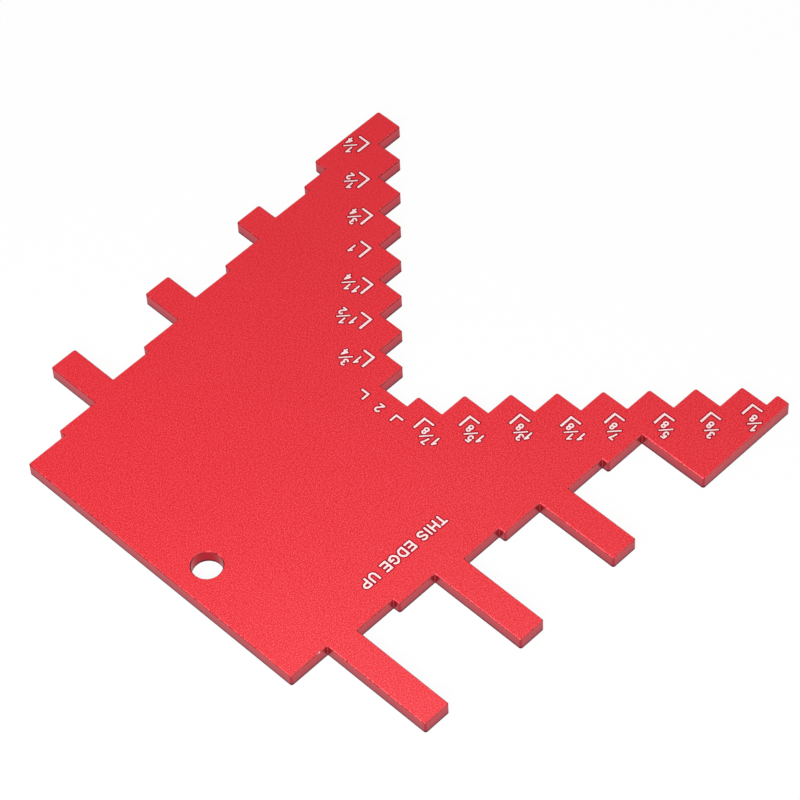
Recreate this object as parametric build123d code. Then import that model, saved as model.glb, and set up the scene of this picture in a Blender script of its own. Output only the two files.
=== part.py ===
"""Step gauge: a flat plate with a stepped V on top and comb gaps on both sides.

The plate lies flat, graduated face up, with its straight edge towards -Y, its
two feet towards +Y and the ends of the comb tabs towards -X and +X.
"""

import math
import os

from build123d import *

INCH = 25.4

# Overall plate, in millimetres.
THICKNESS = INCH / 8
WIDTH = 112.0  # left tab ends to right tab ends
HEIGHT = 110.7  # straight edge to the feet
OUTSIDE_RADIUS = 0.5  # corners of the outline that stand out
INSIDE_RADIUS = 0.2  # corners that are cut in, where a gauged edge has to seat
EDGE_BREAK = 0.2  # bevel along both faces and round the hole mouths

# Stepped V, every height taken down from the plane of the feet.
STEP_RUN = INCH / 4
STEP_RISE = INCH / 4
LEFT_STEP_COUNT = 8  # notches of 1/4 to 2 inches
RIGHT_STEP_COUNT = 8  # notches of 1 7/8 down to 1/8 inch
RIGHT_FOOT_WIDTH = INCH / 8
RIGHT_FIRST_DROP = INCH / 8

# Comb gaps on the two sides: tabs of a quarter inch, one inch apart, and
# between them a gap in two halves that differ in depth by a sixteenth.
TAB_WIDTH = INCH / 4
HALF_GAP = 3 * INCH / 8
TAB_PITCH = TAB_WIDTH + 2 * HALF_GAP
DEPTH_STEP = INCH / 16
LEFT_TOP_DEPTH = 2 * DEPTH_STEP
LEFT_GAP_COUNT = 4
LEFT_LAST_GAP_TOP = 29 * INCH / 8
RIGHT_TOP_DEPTH = 10 * DEPTH_STEP
RIGHT_GAP_COUNT = 4
RIGHT_TOP_GAP = 27 * INCH / 8

# Hanging hole, from the left tab ends and from the straight edge.
HOLE_DIAMETER = 6.2
HOLE_X = 56.9
HOLE_Y = 7.0


def v_steps():
    """Return the V from the left foot to the right foot, corner by corner."""
    points = [(0, HEIGHT)]
    x, y = STEP_RUN, HEIGHT
    for _ in range(LEFT_STEP_COUNT):
        points += [(x, y), (x, y - STEP_RISE)]
        x, y = x + STEP_RUN, y - STEP_RISE
    x = WIDTH - RIGHT_FOOT_WIDTH - RIGHT_STEP_COUNT * STEP_RUN
    points.append((x, y))
    y = HEIGHT - RIGHT_FIRST_DROP - (RIGHT_STEP_COUNT - 1) * STEP_RISE
    for _ in range(RIGHT_STEP_COUNT):
        points += [(x, y), (x + STEP_RUN, y)]
        x, y = x + STEP_RUN, y + STEP_RISE
    return points + [(x, HEIGHT), (WIDTH, HEIGHT)]


def right_comb():
    """Return the right side from the foot down to the straight edge."""
    points = []
    depth = RIGHT_TOP_DEPTH
    for gap in range(RIGHT_GAP_COUNT):
        top = RIGHT_TOP_GAP - gap * TAB_PITCH
        middle, bottom = top - HALF_GAP, top - 2 * HALF_GAP
        points += [(WIDTH, top), (WIDTH - depth, top)]
        if bottom < 0:
            points.append((WIDTH - depth, 0))
            break
        points += [(WIDTH - depth, middle), (WIDTH - depth - DEPTH_STEP, middle)]
        points += [(WIDTH - depth - DEPTH_STEP, bottom), (WIDTH, bottom)]
        depth += 2 * DEPTH_STEP
    return points


def left_comb():
    """Return the left side from the straight edge up to the foot."""
    points = []
    for gap in range(LEFT_GAP_COUNT):
        bottom = gap * TAB_PITCH
        middle = bottom + HALF_GAP
        top = min(bottom + 2 * HALF_GAP, LEFT_LAST_GAP_TOP)
        depth = LEFT_TOP_DEPTH + 2 * (LEFT_GAP_COUNT - 1 - gap) * DEPTH_STEP
        if gap:
            points.append((0, bottom))
        points += [(depth + DEPTH_STEP, bottom), (depth + DEPTH_STEP, middle)]
        points += [(depth, middle), (depth, top), (0, top)]
    return points


def inside_corners(corners):
    """Return the corners that turn left, on an outline that runs clockwise."""
    turns = zip(corners[-1:] + corners[:-1], corners, corners[1:] + corners[:1])
    return [
        at
        for before, at, after in turns
        if (at[0] - before[0]) * (after[1] - at[1]) > (at[1] - before[1]) * (after[0] - at[0])
    ]


def rounded(face, places, radius):
    """Return the face with the corners at these places rounded."""
    chosen = [v for v in face.vertices() if any(math.dist((v.X, v.Y), p) < 1e-4 for p in places)]
    return fillet(chosen, radius)


def gauge_plate():
    """Build the whole plate from its outline, then pierce and ease it."""
    corners = v_steps() + right_comb() + left_comb()
    inside = inside_corners(corners)
    outside = [corner for corner in corners if corner not in inside]
    outline = make_face(Polyline(*corners, close=True))
    outline = rounded(rounded(outline, inside, INSIDE_RADIUS), outside, OUTSIDE_RADIUS)
    outline -= Pos(HOLE_X, HOLE_Y) * Circle(HOLE_DIAMETER / 2)
    plate = extrude(outline, THICKNESS)
    rims = plate.edges().group_by(Axis.Z)[0] + plate.edges().group_by(Axis.Z)[-1]
    return Pos(-WIDTH / 2, -HEIGHT / 2, 0) * chamfer(rims, EDGE_BREAK)


os.makedirs("parts", exist_ok=True)
export_step(gauge_plate(), "parts/gauge_plate.step")
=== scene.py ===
"""Looks of the step gauge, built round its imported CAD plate.

The plate is the CAD part itself, given a red anodised finish. The graduations are thin films of
white print made here and laid on its face. Places of the print are millimetres from the lower left
corner of the plate's box, and places in a finish are millimetres in the plate's own frame. MM turns
both into Blender's metres, in which the lamps and the camera are given.
"""

import logging
import math
from collections.abc import Mapping
from dataclasses import dataclass, field
from enum import Enum

import bpy
import numpy as np
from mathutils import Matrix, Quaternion, Vector


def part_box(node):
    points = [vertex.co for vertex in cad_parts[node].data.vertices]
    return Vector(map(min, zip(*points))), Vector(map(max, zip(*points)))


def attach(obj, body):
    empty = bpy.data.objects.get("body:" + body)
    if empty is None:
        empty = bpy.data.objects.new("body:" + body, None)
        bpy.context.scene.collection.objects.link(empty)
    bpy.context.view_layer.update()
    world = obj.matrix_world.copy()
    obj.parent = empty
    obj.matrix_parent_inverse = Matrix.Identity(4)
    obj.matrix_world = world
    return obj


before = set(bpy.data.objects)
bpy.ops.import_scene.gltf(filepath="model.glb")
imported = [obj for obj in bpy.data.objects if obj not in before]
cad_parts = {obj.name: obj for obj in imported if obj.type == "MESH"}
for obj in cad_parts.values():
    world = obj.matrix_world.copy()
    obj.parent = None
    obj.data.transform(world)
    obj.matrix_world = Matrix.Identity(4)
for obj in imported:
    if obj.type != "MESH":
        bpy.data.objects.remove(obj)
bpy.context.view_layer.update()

log = logging.getLogger("step_gauge")

MM = 0.001
PLATE_NODE = "gauge_plate"

Point = tuple[float, float]
Place = tuple[float, float, float]
Colour = tuple[float, float, float, float]
Fade = tuple[float, float]

WHITE: Colour = (1.0, 1.0, 1.0, 1.0)

# Noise: the value that it lies round, and each finer layer's share of the one before
GRAIN_MIDDLE = 0.5
LAYER_SHARE = 0.6


# Shader maths


class Signal:
    """One output of a shader node, so that maths on it is written as Python maths."""

    def __init__(self, bench: "Bench", socket: bpy.types.NodeSocket | None) -> None:
        """Keep the output and the bench that its node stands on."""
        self.bench = bench
        self.socket = socket

    def maths(self, operation: str, *values: "Signal | float") -> "Signal":
        """Add one Math node, by Blender's name of the sum, and go on with its number."""
        return self.bench.add("ShaderNodeMath", {"operation": operation}, dict(enumerate(values)))

    def __add__(self, other: "Signal | float") -> "Signal":
        """self + other."""
        return self.maths("ADD", self, other)

    __radd__ = __add__

    def __sub__(self, other: "Signal | float") -> "Signal":
        """self - other."""
        return self.maths("SUBTRACT", self, other)

    def __rsub__(self, other: "Signal | float") -> "Signal":
        """other - self."""
        return self.maths("SUBTRACT", other, self)

    def __mul__(self, other: "Signal | float") -> "Signal":
        """self * other."""
        return self.maths("MULTIPLY", self, other)

    __rmul__ = __mul__

    def __abs__(self) -> "Signal":
        """The value without its sign."""
        return self.maths("ABSOLUTE", self)

    def smaller(self, other: "Signal | float") -> "Signal":
        """The smaller of the two."""
        return self.maths("MINIMUM", self, other)

    def larger(self, other: "Signal | float") -> "Signal":
        """The larger of the two."""
        return self.maths("MAXIMUM", self, other)

    def rise(self, low: float, high: float) -> "Signal":
        """Smooth step: 0 under low, 1 over high, and the other way round where low is the larger.

        Args:
            low: value that gives 0.
            high: value that gives 1.

        Returns:
            The step.
        """
        return self.bench.add(
            "ShaderNodeMapRange",
            {"interpolation_type": "SMOOTHSTEP"},
            {0: self, 1: low, 2: high, 3: 0.0, 4: 1.0},
        )


class Bench:
    """The node tree of one material or world, cleared, with one way to put a node on it."""

    def __init__(self, owner: bpy.types.Material | bpy.types.World) -> None:
        """Switch the owner's nodes on and clear them.

        Args:
            owner: the material or world that the nodes belong to.
        """
        owner.use_nodes = True
        self.tree = owner.node_tree
        self.tree.nodes.clear()

    def add(
        self,
        kind: str,
        settings: Mapping[str, object] | None = None,
        sockets: Mapping[int | str, object] | None = None,
        output: int | str = 0,
    ) -> Signal:
        """Put one node on the bench.

        Args:
            kind: Blender's name of the node type.
            settings: the node's own options, which are set first.
            sockets: a value or a Signal for each input that is used.
            output: the output that the caller goes on with.

        Returns:
            That output.
        """
        node = self.tree.nodes.new(kind)
        for name, value in (settings or {}).items():
            setattr(node, name, value)
        for key, value in (sockets or {}).items():
            if isinstance(value, Signal):
                self.tree.links.new(value.socket, node.inputs[key])
            else:
                node.inputs[key].default_value = value
        return Signal(self, node.outputs[output] if node.outputs else None)

    def vector(self, operation: str, *values: Signal | Place, **named: float) -> Signal:
        """Add one Vector Math node, by Blender's name of the sum, and go on with its vector."""
        sockets = {**dict(enumerate(values)), **named}
        return self.add("ShaderNodeVectorMath", {"operation": operation}, sockets)

    def measure(self, operation: str, first: Signal | Place, second: Signal | Place) -> Signal:
        """Add one Vector Math node that makes a number of two vectors, and go on with that."""
        settings, sockets = {"operation": operation}, {0: first, 1: second}
        return self.add("ShaderNodeVectorMath", settings, sockets, output="Value")

    def millimetres(self) -> Signal:
        """Object coordinates, in millimetres."""
        place = self.add("ShaderNodeTexCoord", output="Object")
        return self.vector("SCALE", place, Scale=1.0 / MM)

    def part(self, vector: Signal, axis: int) -> Signal:
        """A vector's X, Y or Z, for axis 0, 1 or 2."""
        return self.add("ShaderNodeSeparateXYZ", None, {0: vector}, output=axis)

    def turned(self) -> tuple[Signal, Signal]:
        """How far the surface looks along X and along Y, either way.

        Returns:
            The sizes of its normal on X and on Y, without their signs.
        """
        normal = self.add("ShaderNodeNewGeometry", output="True Normal")
        sizes = self.vector("ABSOLUTE", normal)
        return self.part(sizes, 0), self.part(sizes, 1)

    def along(self, place: Signal, way: Place) -> Signal:
        """How far a place lies this way: the two vectors' dot product."""
        return self.measure("DOT_PRODUCT", place, way)

    def near(self, place: Signal, spot: Place, radius: float, core: float = 0.4) -> Signal:
        """Mark what lies round a spot: 1 within core times the radius, fading to 0 at the radius."""
        return self.measure("DISTANCE", place, spot).rise(radius, core * radius)

    def grain(self, place: Signal, per_mm: float, detail: float = 2.0, flat: bool = False) -> Signal:
        """Noise from 0 to 1.

        Args:
            place: coordinates in millimetres.
            per_mm: how many grains there are to a millimetre.
            detail: how many finer layers are added.
            flat: whether the noise is the same all the way down, which leaves out its broad clouds.

        Returns:
            The noise, mostly near GRAIN_MIDDLE.
        """
        settings = {"noise_dimensions": "2D" if flat else "3D"}
        sockets = {"Vector": place, "Scale": per_mm, "Detail": detail, "Roughness": LAYER_SHARE}
        return self.add("ShaderNodeTexNoise", settings, sockets)

    def mix(self, share: Signal | float, first: Signal | Colour, second: Signal | Colour) -> Signal:
        """Blend two colours: first where share is 0, second where it is 1."""
        sockets = {0: share, 6: first, 7: second}
        return self.add("ShaderNodeMix", {"data_type": "RGBA"}, sockets, output=2)

    def bump(self, strength: float, depth: float, relief: Signal) -> Signal:
        """The normal that shows a relief, of which 1 stands for depth millimetres."""
        sockets = {"Strength": strength, "Distance": depth * MM, "Height": relief}
        return self.add("ShaderNodeBump", None, sockets)

    def shown(self) -> Signal:
        """Tell what the camera sees from what only lights the scene.

        Returns:
            1 for a ray that the camera sees, straight, in a gloss or through glass, and 0 for light.
        """
        rays = [
            self.add("ShaderNodeLightPath", output=f"Is {kind} Ray")
            for kind in ("Camera", "Glossy", "Transmission")
        ]
        return sum(rays).rise(0.0, 1.0)


# Finishes


@dataclass(frozen=True)
class RedAnodising:
    """Aluminium blasted with fine beads, dyed red and sealed. Walls are as the cutter left them.

    Lengths and places are millimetres in the plate's own frame, in which it lies on z = 0. A Fade is
    the value that gives nothing and the value that gives all.

    The face's grain is grain_depth deep at its middle and fades in the direction of fading, by that
    vector's length for each millimetre. middle_tone is the tone that it keeps. The walls carry painted
    shade, darker lower down and lifted towards the upper face by wall_shade_fade, and a painted contact
    shadow band where they are lowest. The broken edges are coloured with painted light: a dark painted
    shade with painted highlight dashes, lighter towards the nearer face by crest_highlight, where they
    look along X by edge_lean, and in the direction of highlight_drift. Surfaces that face between X and
    Y, at rounded corners and round the bore, get painted shade. face_depths are measured from the face,
    and wall_depths from the line where the wall begins. The bore's painted shade is full out to
    bore_core times bore_mouth, the radius at which it ends. chip_ground is added to the grain that makes
    the nicks ragged.
    """

    # Blasted face
    deep: Colour = (0.607, 0.003, 0.007, 1.0)
    bright: Colour = (0.757, 0.030, 0.048, 1.0)
    grains_per_mm: float = 4.0
    grain_fade: Fade = (0.28, 0.78)
    grain_depth: float = 0.95
    middle_tone: float = 0.43
    fading: Place = (-0.0044, 0.0041, 0.0)
    clouds_per_mm: float = 0.06
    cloud_share: float = 0.06

    # Specks on the face: marks where a bead struck hard, with painted glints
    glint_speck: Colour = (0.815, 0.082, 0.106, 1.0)
    glint_speck_share: float = 0.6
    bead_fade: Fade = (0.58, 0.8)
    bead_offset: Place = (7.3, 4.1, 0.0)

    # Walls, with the cutter's upright ripples and painted shade, darker lower down
    wall: Colour = (0.555, 0.055, 0.067, 1.0)
    wall_dark_and_shaded: Colour = (0.400, 0.046, 0.066, 1.0)
    wall_shade_fade: float = 0.85
    wall_shade_fade_heights: Fade = (0.6, 3.2)
    darkening: float = 0.15
    ripple_share: float = 0.4
    ripples_per_mm: Place = (3.0, 3.0, 0.25)
    # Painted contact shadow: a dark band low on the walls
    contact_shadow_band: Colour = (0.150, 0.012, 0.030, 1.0)
    contact_shadow_band_heights: Fade = (0.85, 0.6)

    # Broken edges, coloured with painted shade and painted highlights (dashes and a crest line)
    # Painted shade on the broken edges; edge_highlight is the painted highlight
    edge: Colour = (0.220, 0.010, 0.018, 1.0)
    edge_highlight: Colour = (0.620, 0.085, 0.095, 1.0)
    edge_break: float = 0.2
    face_depths: Fade = (0.012, 0.002)
    wall_depths: Fade = (-0.02, 0.03)
    dashes_per_mm: float = 3.6
    dash_fade: Fade = (0.64, 0.8)
    crest_highlight: float = 0.4
    edge_lean: float = 0.113
    highlight_drift: Place = (0.0020, 0.0, 0.0)

    # Painted shade where a surface faces between X and Y: rounded corners and the bore's rim, on the
    # broken edges and on the walls
    corner_fade: Fade = (0.1, 0.45)
    edge_corner_shade: Colour = (0.060, 0.004, 0.010, 1.0)
    edge_corner_shade_share: float = 0.85
    wall_corner_shade: Colour = (0.400, 0.020, 0.032, 1.0)
    wall_corner_shade_share: float = 0.5

    # Painted shade in the bore of the hanging hole
    bore: Colour = (0.435, 0.014, 0.024, 1.0)
    bore_share: float = 0.9
    bore_middle: Place = (0.9, -48.35, 0.0)
    bore_mouth: float = 3.4
    bore_core: float = 0.97

    # Nicks on the straight edge, each with its place and radius
    bare_metal: Colour = (0.860, 0.680, 0.680, 1.0)
    nicks: tuple[tuple[Place, float], ...] = (
        ((30.5, -47.8, 3.05), 0.24),
        ((30.55, -48.2, 3.05), 0.13),
    )
    chip_ground: float = 0.5
    chip_fade: Fade = (0.55, 0.8)

    # Shine, with a seal over the faces only
    face_metallic: float = 0.12
    grazing: Colour = (1.000, 0.850, 0.850, 1.0)
    seal_weight: float = 0.12
    seal_gloss: float = 2.5
    seal_roughness: float = 0.25
    roughness: float = 0.26
    bead_roughness: float = 0.12
    face_roughness: float = 0.2

    # Relief that shows in the shading
    relief_strength: float = 0.35
    relief_depth: float = 0.02
    bead_relief: float = 0.6
    grain_relief: float = 0.8
    ripple_relief: float = 0.3


class AnodisedSkin:
    """The plate's finish as nodes: what they read off the plate, and a method for each zone."""

    def __init__(self, finish: RedAnodising, thickness: float) -> None:
        """Start the material, and read each point's place, direction and grain.

        Args:
            finish: the colours and sizes.
            thickness: the plate's thickness, in millimetres.
        """
        self.finish = finish
        self.half = thickness / 2
        self.made = bpy.data.materials.new("red_anodised_aluminium")
        self.bench = Bench(self.made)
        self.place = self.bench.millimetres()
        self.height = self.bench.part(self.place, 2)
        self.from_middle = abs(self.height - self.half)
        self.on_x, self.on_y = self.bench.turned()
        # Mask for painted shade: 1 where the surface faces between X and Y, at rounded corners and round
        # the bore
        self.rounded = self.on_x.smaller(self.on_y).rise(*finish.corner_fade)
        self.fine = self.bench.grain(self.place, finish.grains_per_mm, detail=0.0, flat=True)
        moved = self.bench.vector("ADD", self.place, finish.bead_offset)
        self.beads = self.bench.grain(moved, finish.grains_per_mm, detail=0.0, flat=True)
        stretched = self.bench.vector("MULTIPLY", self.place, finish.ripples_per_mm)
        self.ripples = self.bench.grain(stretched, per_mm=1.0)
        self.dashes = self.bench.grain(self.place, finish.dashes_per_mm)

    def on_faces(self) -> Signal:
        """1 on the two faces, told by the height, and 0 elsewhere."""
        start, full = self.finish.face_depths
        return self.from_middle.rise(self.half - start, self.half - full)

    def on_walls(self) -> Signal:
        """Tell the walls by the height.

        Returns:
            1 on the walls, and 0 on the broken edges and the faces.
        """
        start, full = self.finish.wall_depths
        top = self.half - self.finish.edge_break
        return self.from_middle.rise(top - start, top - full)

    def face_colour(self) -> Signal:
        """Colour the blasted face: a fading grain between deep and bright, then its specks, part blast
        marks and part painted glints.

        Returns:
            The colour.
        """
        look = self.finish
        clouds = self.bench.grain(self.place, look.clouds_per_mm, detail=1.0)
        blast = (self.fine + clouds * look.cloud_share).rise(*look.grain_fade)
        depth = look.grain_depth - self.bench.along(self.place, look.fading)
        blast = (blast - look.middle_tone) * depth + look.middle_tone
        colour = self.bench.mix(blast, look.deep, look.bright)
        # Specks: blast marks together with painted glints, lighter pink
        specks = look.glint_speck_share * depth * self.beads.rise(*look.bead_fade)
        return self.bench.mix(specks, colour, look.glint_speck)

    def wall_colour(self) -> Signal:
        """Colour the walls: painted shade lower down, rippled, and painted shade at corners and in the
        bore.

        Returns:
            The colour.
        """
        look = self.finish
        # Painted shade: darker lower down the wall, lifting towards the upper face
        tone = look.wall_shade_fade * self.height.rise(*look.wall_shade_fade_heights)
        tone = tone + look.ripple_share * self.ripples - look.darkening
        colour = self.bench.mix(tone, look.wall_dark_and_shaded, look.wall)
        # Painted shade at rounded corners
        colour = self.bench.mix(look.wall_corner_shade_share * self.rounded, colour, look.wall_corner_shade)
        # Painted shade in the bore of the hanging hole
        from_above = self.bench.vector("MULTIPLY", self.place, (1.0, 1.0, 0.0))
        bore_shade_mask = self.bench.near(from_above, look.bore_middle, look.bore_mouth, look.bore_core)
        return self.bench.mix(look.bore_share * bore_shade_mask, colour, look.bore)

    def edge_colour(self) -> Signal:
        """Colour the broken edges with painted light: painted shade, painted highlight dashes and crest
        line, and painted shade at the corners.

        Returns:
            The colour.
        """
        look = self.finish
        # Painted light: a highlight line along the crest, highlights leaning towards X-facing edges and
        # towards +X, and highlight dashes over the painted shade
        crest_highlight = (self.from_middle - (self.half - look.edge_break)) * (look.crest_highlight / look.edge_break)
        lean = look.edge_lean * (self.on_x - self.on_y) + self.bench.along(self.place, look.highlight_drift)
        bright = (crest_highlight + self.dashes + lean).rise(*look.dash_fade)
        colour = self.bench.mix(bright, look.edge, look.edge_highlight)
        return self.bench.mix(look.edge_corner_shade_share * self.rounded, colour, look.edge_corner_shade)

    def chipped(self) -> Signal:
        """Mark the bare metal in the nicks.

        Returns:
            1 in ragged patches round each nick's middle, and 0 elsewhere.
        """
        look = self.finish
        worn = self.bench.near(self.place, *look.nicks[0])
        for spot, radius in look.nicks[1:]:
            worn = worn.larger(self.bench.near(self.place, spot, radius))
        return (worn * (self.dashes + look.chip_ground)).rise(*look.chip_fade)

    def colour(self, face: Signal) -> Signal:
        """Lay the zones over one another.

        Args:
            face: 1 on the two faces.

        Returns:
            The whole plate's colour.
        """
        look = self.finish
        body = self.bench.mix(self.on_walls(), self.edge_colour(), self.wall_colour())
        # Painted contact shadow: a dark band where the walls are lowest
        body = self.bench.mix(self.height.rise(*look.contact_shadow_band_heights), body, look.contact_shadow_band)
        whole = self.bench.mix(face, body, self.face_colour())
        return self.bench.mix(self.chipped(), whole, look.bare_metal)

    def relief(self) -> Signal:
        """Raise the beads, the grain and the ripples.

        Returns:
            The normal that shows them.
        """
        look = self.finish
        blasted = self.beads * look.bead_relief + self.fine * look.grain_relief
        relief = blasted + self.ripples * look.ripple_relief
        return self.bench.bump(look.relief_strength, look.relief_depth, relief)

    def material(self) -> bpy.types.Material:
        """Finish the material.

        Returns:
            The material, which tells faces, broken edges and walls apart by height.
        """
        look = self.finish
        face = self.on_faces()
        rough = look.roughness + look.bead_roughness * self.beads + look.face_roughness * face
        shader = self.bench.add(
            "ShaderNodeBsdfPrincipled",
            None,
            {
                "Base Color": self.colour(face),
                "Metallic": 1.0 - (1.0 - look.face_metallic) * face,
                "Roughness": rough,
                "Specular IOR Level": 0.0,
                "Specular Tint": look.grazing,
                "Coat Weight": look.seal_weight * face,
                "Coat IOR": look.seal_gloss,
                "Coat Roughness": look.seal_roughness,
                "Normal": self.relief(),
            },
        )
        self.bench.add("ShaderNodeOutputMaterial", None, {"Surface": shader})
        return self.made


@dataclass(frozen=True)
class WhitePrint:
    """White marking, slightly pink where the red shows through, in a narrow dark red border.

    Lengths are millimetres. The film's upper skin lies above the plate's face by proud, and its
    thickness goes down from there. A Fade is the value that gives nothing and the value that gives
    all.
    """

    white: Colour = (0.970, 0.780, 0.775, 1.0)
    thin_white: Colour = (0.930, 0.630, 0.635, 1.0)
    specks_per_mm: float = 3.2
    speck_fade: Fade = (0.42, 0.62)
    border: Colour = (0.310, 0.000, 0.012, 1.0)
    border_width: float = 0.26
    border_fade: Fade = (-0.03, 0.03)
    border_wander: float = 0.06
    roughness: float = 0.6
    speck_roughness: float = 0.15
    gloss: float = 0.2
    relief_strength: float = 0.3
    relief_depth: float = 0.02
    thickness: float = 0.02
    proud: float = 0.012
    distance_attribute: str = "from_print_edge"

    def material(self) -> bpy.types.Material:
        """Make the finish, which reads each film's own distance from the print's edge.

        Returns:
            The material.
        """
        made = bpy.data.materials.new("white_marking")
        bench = Bench(made)
        specks = bench.grain(bench.millimetres(), self.specks_per_mm)
        distance = bench.add(
            "ShaderNodeAttribute", {"attribute_name": self.distance_attribute}, None, output="Fac"
        )
        wandering = distance + (specks - GRAIN_MIDDLE) * self.border_wander
        outside = wandering.rise(*self.border_fade)
        ink = bench.mix(specks.rise(*self.speck_fade), self.thin_white, self.white)
        shader = bench.add(
            "ShaderNodeBsdfPrincipled",
            None,
            {
                "Base Color": bench.mix(outside, ink, self.border),
                "Roughness": self.roughness + self.speck_roughness * specks,
                "Specular IOR Level": self.gloss,
                "Normal": bench.bump(self.relief_strength, self.relief_depth, specks),
            },
        )
        bench.add("ShaderNodeOutputMaterial", None, {"Surface": shader})
        return made


@dataclass(frozen=True)
class PaleSweep:
    """The white studio floor. Seen straight or in a gloss it is white, and it still takes the shadow."""

    white: Colour = (0.86, 0.86, 0.86, 1.0)
    glow: float = 0.955

    def material(self) -> bpy.types.Material:
        """Make the floor's finish.

        Returns:
            The material.
        """
        made = bpy.data.materials.new("pale_floor")
        bench = Bench(made)
        plain = bench.add("ShaderNodeBsdfDiffuse", None, {0: self.white})
        lit = bench.add("ShaderNodeEmission", None, {0: WHITE, 1: 1.0})
        share = bench.shown() * self.glow
        shader = bench.add("ShaderNodeMixShader", None, {0: share, 1: plain, 2: lit})
        bench.add("ShaderNodeOutputMaterial", None, {"Surface": shader})
        return made


# Print


@dataclass(frozen=True)
class Nib:
    """How one stroke is drawn: half its width, the rounding of its ends, and its run past them."""

    half_width: float
    corner: float
    reach: float

    @classmethod
    def rounded(cls, width: float) -> "Nib":
        """A stroke of this width with round ends."""
        return cls(width / 2, width / 2, width / 2)

    @classmethod
    def squared(cls, width: float, corner: float, reach: float = 0.0) -> "Nib":
        """A stroke of this width with square ends whose corners are slightly eased."""
        return cls(width / 2, corner, reach)


class Turn(Enum):
    """Which way print reads on the plate: the directions of its line and of its letters' tops."""

    UPSIDE_DOWN = ((-1.0, 0.0), (0.0, -1.0))
    DOWN_THE_SIDE = ((0.0, -1.0), (1.0, 0.0))


class Side(Enum):
    """The side of the stepped V that a size stands on, as the way its corner mark's arm runs."""

    LEFT = -1.0
    RIGHT = 1.0


def line(*points: Point) -> np.ndarray:
    """Straight runs through these points of a glyph's box, which goes from -1 to 1 both ways."""
    return np.array(points, float)


def arc(middle: Point, radii: Point, start: float, end: float, steps: int = 14) -> np.ndarray:
    """Points on an ellipse: middle + (rx cos t, ry sin t), with t going evenly from start to end.

    Args:
        middle: centre of the ellipse in the glyph's box.
        radii: its half-axes there.
        start: first angle, in degrees.
        end: last angle, in degrees.
        steps: how many straight runs stand for the curve.

    Returns:
        The points, one row each.
    """
    angle = np.radians(np.linspace(start, end, steps + 1))
    return np.array(middle) + np.stack([radii[0] * np.cos(angle), radii[1] * np.sin(angle)], 1)


@dataclass(frozen=True)
class Glyph:
    """One character: its runs with square ends and its runs with round ends."""

    straight: tuple[np.ndarray, ...] = ()
    curved: tuple[np.ndarray, ...] = ()


DIGITS: dict[str, Glyph] = {
    "1": Glyph(curved=(line((0.3, -1), (0.3, 1), (-0.95, 0.32)),)),
    "2": Glyph(curved=(np.vstack([arc((0, 0.46), (0.92, 0.54), 165, -28), [(-0.95, -1), (1, -1)]]),)),
    "3": Glyph(
        curved=(arc((0, 0.5), (0.86, 0.5), 152, -80), arc((0, -0.46), (0.96, 0.54), 80, -155))
    ),
    "4": Glyph(curved=(line((0.35, 1), (-1, -0.38), (1, -0.38)), line((0.35, 1), (0.35, -1)))),
    "5": Glyph(
        curved=(line((0.85, 1), (-0.7, 1), (-0.85, 0.08)), arc((0, -0.32), (0.95, 0.68), 140, -155))
    ),
    "7": Glyph(curved=(line((-0.95, 1), (0.95, 1), (0.2, 0.1), (-0.3, -1)),)),
    "8": Glyph(
        curved=(arc((0, 0.5), (0.82, 0.5), 0, 360, 18), arc((0, -0.47), (1, 0.53), 0, 360, 18))
    ),
}

CAPITALS: dict[str, Glyph] = {
    "T": Glyph(straight=(line((-1, 1), (1, 1)), line((0, 1), (0, -1)))),
    "H": Glyph(
        straight=(line((-1, 1), (-1, -1)), line((1, 1), (1, -1)), line((-1, 0.05), (1, 0.05)))
    ),
    "I": Glyph(straight=(line((0, 1), (0, -1)),)),
    "S": Glyph(
        curved=(arc((0, 0.52), (0.95, 0.48), 22, 260), arc((0, -0.5), (1, 0.52), 80, -160))
    ),
    "E": Glyph(straight=(line((1, 1), (-1, 1), (-1, -1), (1, -1)), line((-1, 0.05), (0.8, 0.05)))),
    "D": Glyph(
        straight=(line((-0.1, 1), (-1, 1), (-1, -1), (-0.1, -1)),),
        curved=(arc((-0.1, 0), (1.1, 1), 90, -90, 16),),
    ),
    "G": Glyph(
        straight=(line((1, -0.7), (1, -0.1), (0.2, -0.1)),),
        curved=(arc((0, 0), (1, 1), 42, 320, 22),),
    ),
    "U": Glyph(
        straight=(line((-1, 1), (-1, -0.25)), line((1, 1), (1, -0.25))),
        curved=(arc((0, -0.25), (1, 0.75), 180, 360),),
    ),
    "P": Glyph(
        straight=(line((0.1, 1), (-1, 1), (-1, -1)), line((-1, -0.1), (0.1, -0.1))),
        curved=(arc((0.1, 0.45), (0.9, 0.55), 90, -90),),
    ),
}


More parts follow.
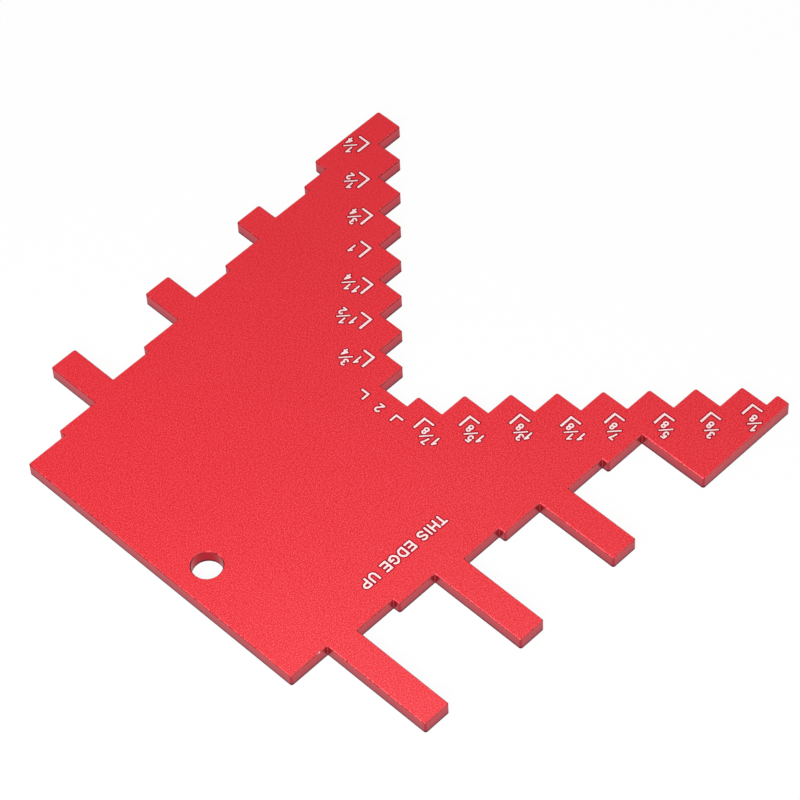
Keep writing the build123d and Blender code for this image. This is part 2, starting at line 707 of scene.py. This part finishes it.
@dataclass
class PrintFilm:
    """One printed mark: strokes in plate millimetres, made into a thin film on the plate's face.

    letter_corner rounds the corners of the square ends of a letter's strokes.
    """

    name: str
    letter_corner: float = 0.06
    bars: list[np.ndarray] = field(default_factory=list)

    def stroke(self, points: np.ndarray, nib: Nib) -> None:
        """Add straight bars from point to point.

        Args:
            points: where the stroke goes, in plate millimetres, one row each.
            nib: how it is drawn.
        """
        runs = np.hstack([points[:-1], points[1:]])
        pen = np.broadcast_to([nib.half_width, nib.corner, nib.reach], (len(runs), 3))
        self.bars.append(np.hstack([runs, pen]))

    def glyph(self, shape: Glyph, middle: Point, size: Point, turn: Turn, width: float) -> None:
        """Add one character.

        Args:
            shape: the character's runs.
            middle: centre of its outer box on the plate.
            size: the outer box's width and height.
            turn: which way the print reads.
            width: its strokes' width.
        """
        half = (np.array(size) - width) / 2
        axes = np.array(turn.value)
        square = Nib.squared(width, self.letter_corner, width / 2)
        for runs, nib in ((shape.straight, square), (shape.curved, Nib.rounded(width))):
            for run in runs:
                self.stroke(np.array(middle) + (run * half) @ axes, nib)

    def distance(self, at: np.ndarray) -> np.ndarray:
        """Signed distance to the print's edge.

        For one bar, along = |(p - middle) . direction| - half its length and across = the same
        with the normal and half its width, both plus the corner's radius. Its distance is the
        length of their positive parts, plus the larger one where both are negative, minus the
        radius. The print's distance is the least of all its bars'.

        Args:
            at: points in plate millimetres, one row each.

        Returns:
            Each point's distance in millimetres, less than 0 in the print.
        """
        bars = np.vstack(self.bars)
        start, end, half_width, corner, reach = bars[:, :2], bars[:, 2:4], *bars[:, 4:].T
        length = np.linalg.norm(end - start, axis=1)
        direction = (end - start) / length[:, None]
        offset = at[:, None, :] - (start + end) / 2
        along = np.abs((offset * direction).sum(2)) - length / 2 - reach + corner
        across = np.abs(offset[..., 0] * direction[:, 1] - offset[..., 1] * direction[:, 0])
        across += corner - half_width
        outer = np.hypot(np.maximum(along, 0), np.maximum(across, 0))
        return (outer + np.minimum(np.maximum(along, across), 0) - corner).min(1)

    def onto_border(self, points: np.ndarray, border: float, passes: int = 3) -> np.ndarray:
        """Move points onto the border's outer line.

        Each goes along the distance's slope by (distance - border), a few times over.

        Args:
            points: the points in plate millimetres, one row each.
            border: the border's width, in millimetres.
            passes: how many times they are moved.

        Returns:
            The moved points.
        """
        probes = 0.004 * np.eye(2)
        flat = 1e-9
        for _ in range(passes):
            rises = [self.distance(points + step) - self.distance(points - step) for step in probes]
            slope = np.stack(rises, 1)
            slope /= np.maximum(np.linalg.norm(slope, axis=1), flat)[:, None]
            points = points - (self.distance(points) - border)[:, None] * slope
        return points

    def film(self, origin: Place, finish: WhitePrint, cell: float = 0.075) -> bpy.types.Object:
        """Cut the film out of a square grid and lay it on the plate.

        A cell stays where its middle is nearer to the print than the border's width. A grid point
        on the film's outline moves onto the border's outer line. Each point keeps its distance in
        an attribute.

        Args:
            origin: lower left corner of the plate's face, in metres.
            finish: the print's sizes and the attribute's name.
            cell: size of a grid cell, in millimetres.

        Returns:
            The film.
        """
        bars = np.vstack(self.bars)
        ends = bars[:, :4].reshape(-1, 2)
        half_width, _, reach = bars[:, 4:].T
        spare = half_width.max() + reach.max() + finish.border_width + cell
        low = ends.min(0) - spare
        count = np.ceil((ends.max(0) + spare - low) / cell).astype(int)
        column, row = np.meshgrid(np.arange(count[0] + 1), np.arange(count[1] + 1))
        grid = low + cell * np.stack([column, row], 2).reshape(-1, 2)
        first = (column[:-1, :-1] + row[:-1, :-1] * (count[0] + 1)).ravel()
        first = first[self.distance(grid[first] + cell / 2) < finish.border_width]
        corners = np.stack([first, first + 1, first + count[0] + 2, first + count[0] + 1], 1)
        used, faces = np.unique(corners, return_inverse=True)
        faces = faces.reshape(corners.shape)
        points = grid[used]
        cells_round_inner_point = 4
        outline = np.bincount(faces.ravel()) < cells_round_inner_point
        points[outline] = self.onto_border(points[outline], finish.border_width)
        heights = np.full((len(points), 1), finish.proud)
        vertices = np.hstack([points, heights]) * MM + np.array(origin)
        return self.laid(vertices, faces, self.distance(points), finish)

    def laid(
        self, vertices: np.ndarray, faces: np.ndarray, distance: np.ndarray, finish: WhitePrint
    ) -> bpy.types.Object:
        """Make the piece from its upper skin and give it its thickness downwards.

        Args:
            vertices: the skin's points in metres, one row each.
            faces: the points of each face.
            distance: each point's distance from the print's edge, in millimetres.
            finish: the print's thickness and the attribute's name.

        Returns:
            The piece.
        """
        mesh = bpy.data.meshes.new(self.name)
        mesh.from_pydata(vertices.tolist(), [], faces.tolist())
        attribute = mesh.attributes.new(finish.distance_attribute, "FLOAT", "POINT")
        attribute.data.foreach_set("value", distance.astype(np.float32))
        mesh.update()
        piece = bpy.data.objects.new(self.name, mesh)
        bpy.context.scene.collection.objects.link(piece)
        skin = piece.modifiers.new("film", "SOLIDIFY")
        skin.thickness = finish.thickness * MM
        skin.offset = -1.0
        return piece


@dataclass(frozen=True)
class CornerMark:
    """Sizes of a corner mark, in millimetres.

    Lengths and widths are those of its level arm and its upright arm, and corner rounds the corners
    of the arms' ends.
    """

    lengths: Point
    widths: Point
    corner: float = 0.1


@dataclass(frozen=True)
class Graduation:
    """One printed size of the stepped V: its corner mark and its number.

    corner is the corner mark's outer corner, slash the middle of the fraction's slash, and whole
    the middle of the whole number's stem.
    """

    name: str
    side: Side
    corner: Point
    slash: Point | None = None
    over: str = ""
    under: str = ""
    whole: Point | None = None


@dataclass(frozen=True)
class PrintSizes:
    """Sizes of the corner marks and the lettering, in millimetres."""

    left_mark: CornerMark = CornerMark((2.95, 3.4), (0.46, 0.52))
    right_mark: CornerMark = CornerMark((2.75, 3.2), (0.40, 0.49))
    bottom_mark: CornerMark = CornerMark((2.0, 1.95), (0.42, 0.42))
    slash_half: Point = (0.95, 1.05)
    slash_width: float = 0.3
    slash_corner: float = 0.08
    small_digit: Point = (1.2, 1.88)
    small_width: float = 0.35
    over_from_slash: Point = (0.72, -1.02)
    under_from_slash: Point = (-1.0, 0.78)
    whole_digit: Point = (1.05, 2.25)
    whole_width: float = 0.38
    stem_from_middle: float = 0.1
    bottom_digit: Point = (1.45, 2.2)
    bottom_width: float = 0.36
    capital_height: float = 2.35
    capital_width: float = 0.42


@dataclass(frozen=True)
class Markings:
    """All that is printed on the plate's face.

    origin is the lower left corner of the plate's face, in metres. Each of the capitals has the
    places where it starts and ends along its line.
    """

    origin: Place
    finish: WhitePrint = WhitePrint()
    sizes: PrintSizes = PrintSizes()
    graduations: tuple[Graduation, ...] = (
        Graduation("mark_1_4", Side.LEFT, (4.95, 103.3), (2.35, 100.1), "1", "4"),
        Graduation("mark_1_2", Side.LEFT, (11.8, 96.4), (9.25, 93.35), "1", "2"),
        Graduation("mark_3_4", Side.LEFT, (19.1, 89.95), (16.45, 87.1), "3", "4"),
        Graduation("mark_1", Side.LEFT, (24.95, 83.6), whole=(21.9, 80.85)),
        Graduation("mark_1_and_1_4", Side.LEFT, (31.85, 77.15), (27.7, 74.2), "1", "4", (30.0, 73.85)),
        Graduation("mark_1_and_1_2", Side.LEFT, (37.95, 70.65), (33.05, 67.35), "1", "2", (35.2, 67.85)),
        Graduation("mark_1_and_3_4", Side.LEFT, (45.1, 64.2), (40.75, 60.3), "3", "4", (42.85, 61.4)),
        Graduation("mark_1_and_7_8", Side.RIGHT, (62.5, 60.15), (65.9, 57.15), "7", "8", (68.1, 57.35)),
        Graduation("mark_1_and_5_8", Side.RIGHT, (68.6, 66.5), (71.8, 63.4), "5", "8", (73.95, 63.65)),
        Graduation("mark_1_and_3_8", Side.RIGHT, (75.4, 73.45), (78.65, 70.2), "3", "8", (80.3, 70.48)),
        Graduation("mark_1_and_1_8", Side.RIGHT, (83.05, 79.7), (85.7, 76.85), "1", "8", (87.9, 77.28)),
        Graduation("mark_7_8", Side.RIGHT, (88.7, 86.05), (91.7, 82.65), "7", "8"),
        Graduation("mark_5_8", Side.RIGHT, (95.75, 92.55), (98.75, 89.65), "5", "8"),
        Graduation("mark_3_8", Side.RIGHT, (102.1, 98.85), (105.2, 95.55), "3", "8"),
        Graduation("mark_1_8", Side.RIGHT, (106.7, 105.75), (110.2, 102.4), "1", "8"),
    )
    bottom_corners: tuple[tuple[Point, Side], ...] = (
        ((50.7, 57.0), Side.LEFT),
        ((57.95, 57.0), Side.RIGHT),
    )
    bottom_middle: Point = (54.45, 55.8)
    capital_middle: float = 81.93
    capitals: tuple[tuple[str, float, float], ...] = (
        ("T", 45.5, 43.85),
        ("H", 43.6, 41.85),
        ("I", 41.4, 40.9),
        ("S", 40.5, 38.8),
        ("E", 37.25, 35.6),
        ("D", 35.15, 33.35),
        ("G", 33.0, 31.05),
        ("E", 30.65, 29.0),
        ("U", 27.4, 25.65),
        ("P", 25.2, 23.5),
    )

    def build(self) -> list[bpy.types.Object]:
        """Make every mark.

        Returns:
            The pieces.
        """
        ink = self.finish.material()
        films = [self.graduation(size) for size in self.graduations]
        return [self.dress(film, ink) for film in (*films, self.bottom(), self.orientation())]

    def dress(self, film: PrintFilm, ink: bpy.types.Material) -> bpy.types.Object:
        """Lay one mark on the plate with its finish, riding with the plate.

        Args:
            film: the mark as drawn.
            ink: its finish.

        Returns:
            The piece.
        """
        piece = film.film(self.origin, self.finish)
        piece.data.materials.append(ink)
        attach(piece, "root")
        log.info("%s: %d faces", piece.name, len(piece.data.polygons))
        return piece

    def corner_mark(self, film: PrintFilm, corner: Point, side: Side, mark: CornerMark) -> None:
        """Add the two arms of a corner mark.

        Args:
            film: the mark that they belong to.
            corner: where they meet, at their outer corner.
            side: the side of the V.
            mark: their sizes.
        """
        x, y = corner
        inward = side.value
        level = Nib.squared(mark.widths[0], mark.corner)
        upright = Nib.squared(mark.widths[1], mark.corner)
        row = y - mark.widths[0] / 2
        column = x + inward * mark.widths[1] / 2
        film.stroke(line((x, row), (x + inward * mark.lengths[0], row)), level)
        film.stroke(line((column, y), (column, y - mark.lengths[1])), upright)

    def graduation(self, size: Graduation) -> PrintFilm:
        """Draw one size: its corner mark, then its fraction and whole number.

        Args:
            size: the size.

        Returns:
            The mark as drawn.
        """
        film = PrintFilm(size.name)
        mark = self.sizes.left_mark if size.side is Side.LEFT else self.sizes.right_mark
        self.corner_mark(film, size.corner, size.side, mark)
        if size.slash:
            self.fraction(film, size)
        if size.whole:
            self.whole(film, size)
        return film

    def fraction(self, film: PrintFilm, size: Graduation) -> None:
        """Draw a fraction round the middle of its slash.

        Args:
            film: the mark that it belongs to.
            size: the size, with its two digits.
        """
        lettering = self.sizes
        middle = np.array(size.slash)
        half = np.array(lettering.slash_half)
        slash = Nib.squared(lettering.slash_width, lettering.slash_corner)
        film.stroke(np.array([middle - half, middle + half]), slash)
        for digit, offset in (
            (size.over, lettering.over_from_slash),
            (size.under, lettering.under_from_slash),
        ):
            film.glyph(
                DIGITS[digit],
                tuple(middle + offset),
                lettering.small_digit,
                Turn.UPSIDE_DOWN,
                lettering.small_width,
            )

    def whole(self, film: PrintFilm, size: Graduation) -> None:
        """Draw the whole number 1 round its stem.

        Args:
            film: the mark that it belongs to.
            size: the size, with its stem's middle.
        """
        lettering = self.sizes
        x, y = size.whole
        film.glyph(
            DIGITS["1"],
            (x + lettering.stem_from_middle, y),
            lettering.whole_digit,
            Turn.UPSIDE_DOWN,
            lettering.whole_width,
        )

    def bottom(self) -> PrintFilm:
        """Draw the whole inch size at the bottom of the V, between its two small corner marks.

        Returns:
            The mark as drawn.
        """
        film = PrintFilm("mark_2")
        for corner, side in self.bottom_corners:
            self.corner_mark(film, corner, side, self.sizes.bottom_mark)
        film.glyph(
            DIGITS["2"],
            self.bottom_middle,
            self.sizes.bottom_digit,
            Turn.UPSIDE_DOWN,
            self.sizes.bottom_width,
        )
        return film

    def orientation(self) -> PrintFilm:
        """Draw the words that say which way the gauge is held.

        Returns:
            The mark as drawn.
        """
        film = PrintFilm("mark_orientation")
        for letter, start, end in self.capitals:
            middle = (self.capital_middle, (start + end) / 2)
            size = (start - end, self.sizes.capital_height)
            film.glyph(CAPITALS[letter], middle, size, Turn.DOWN_THE_SIDE, self.sizes.capital_width)
        return film


# Plate


@dataclass
class GaugePlate:
    """The flat plate, which is the CAD part with a better finish."""

    finish: RedAnodising = RedAnodising()

    def __post_init__(self) -> None:
        """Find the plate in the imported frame."""
        self.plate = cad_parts[PLATE_NODE]
        self.low, self.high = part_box(PLATE_NODE)

    @property
    def face_origin(self) -> Place:
        """Lower left corner of the plate's upper face, in metres."""
        return self.low.x, self.low.y, self.high.z

    def dress(self) -> None:
        """Give the plate its finish."""
        thickness = (self.high.z - self.low.z) / MM
        material = AnodisedSkin(self.finish, thickness).material()
        for slot in self.plate.material_slots:
            slot.material = material
        log.info("%s: %d faces", self.plate.name, len(self.plate.data.polygons))


# Studio


@dataclass(frozen=True)
class SoftBox:
    """A square white studio lamp. Sizes and places are metres, and it faces the plate."""

    name: str
    place: Place
    side: float
    watts: float

    def hang(self) -> None:
        """Put the lamp in the scene."""
        lamp = bpy.data.lights.new(self.name, "AREA")
        lamp.shape = "SQUARE"
        lamp.size = self.side
        lamp.energy = self.watts
        holder = bpy.data.objects.new(self.name, lamp)
        holder.location = self.place
        holder.rotation_euler = (-Vector(self.place)).to_track_quat("-Z", "Y").to_euler()
        bpy.context.scene.collection.objects.link(holder)


@dataclass(frozen=True)
class Viewpoint:
    """The camera: its place, aim and clipping in metres, its roll in degrees, the rest in mm."""

    place: Place = (0.34827, -0.31803, 0.61485)
    aim: Place = (-0.00178, 0.00628, 0.0)
    roll: float = -3.4394
    lens: float = 179.165
    sensor: float = 36.0
    clip: Point = (0.01, 20.0)

    def set_up(self) -> None:
        """Put the camera in the scene and look through it."""
        data = bpy.data.cameras.new("camera")
        data.lens = self.lens
        data.sensor_width = self.sensor
        data.clip_start, data.clip_end = self.clip
        camera = bpy.data.objects.new("camera", data)
        camera.rotation_mode = "QUATERNION"
        camera.location = self.place
        gaze = Vector(self.aim) - Vector(self.place)
        turn = Quaternion((0.0, 0.0, 1.0), math.radians(self.roll))
        camera.rotation_quaternion = gaze.to_track_quat("-Z", "Y") @ turn
        bpy.context.scene.collection.objects.link(camera)
        bpy.context.scene.camera = camera


@dataclass(frozen=True)
class Studio:
    """Plain pale floor, soft lamps and camera. Sizes are metres."""

    floor_half: float = 3.0
    floor_height: float = -0.0001
    floor_finish: PaleSweep = PaleSweep()
    ambient: float = 0.15
    lamps: tuple[SoftBox, ...] = (
        SoftBox("front_softbox", (0.25, -0.42, 0.42), 0.35, 5.5),
        SoftBox("left_softbox", (-0.36, -0.64, 0.33), 0.30, 0.8),
        SoftBox("overhead_softbox", (-0.14, 0.13, 0.56), 0.20, 0.4),
    )
    viewpoint: Viewpoint = Viewpoint()

    def build(self) -> None:
        """Make the floor, the ambient light, the lamps and the camera."""
        self.floor()
        self.surroundings()
        for lamp in self.lamps:
            lamp.hang()
        self.viewpoint.set_up()
        bpy.context.scene.view_settings.view_transform = "Standard"
        log.info("studio: %d lamps", len(self.lamps))

    def floor(self) -> None:
        """Lay the floor, one square just under the plate."""
        ways = ((-1, -1), (1, -1), (1, 1), (-1, 1))
        corners = [(x * self.floor_half, y * self.floor_half, self.floor_height) for x, y in ways]
        mesh = bpy.data.meshes.new("floor")
        mesh.from_pydata(corners, [], [(0, 1, 2, 3)])
        mesh.materials.append(self.floor_finish.material())
        floor = bpy.data.objects.new("floor", mesh)
        bpy.context.scene.collection.objects.link(floor)

    def surroundings(self) -> None:
        """Light the scene softly all round, with plain white where it is seen past the floor."""
        world = bpy.data.worlds.new("studio")
        bpy.context.scene.world = world
        bench = Bench(world)
        soft = bench.add("ShaderNodeBackground", None, {0: WHITE, 1: self.ambient})
        white = bench.add("ShaderNodeBackground", None, {0: WHITE, 1: 1.0})
        shader = bench.add("ShaderNodeMixShader", None, {0: bench.shown(), 1: soft, 2: white})
        bench.add("ShaderNodeOutputWorld", None, {"Surface": shader})


def main() -> None:
    """Build the looks in order and report each piece."""
    logging.basicConfig(level=logging.INFO, format="%(name)s: %(message)s")
    Studio().build()
    plate = GaugePlate()
    plate.dress()
    Markings(plate.face_origin).build()


if __name__ == "__main__":
    main()
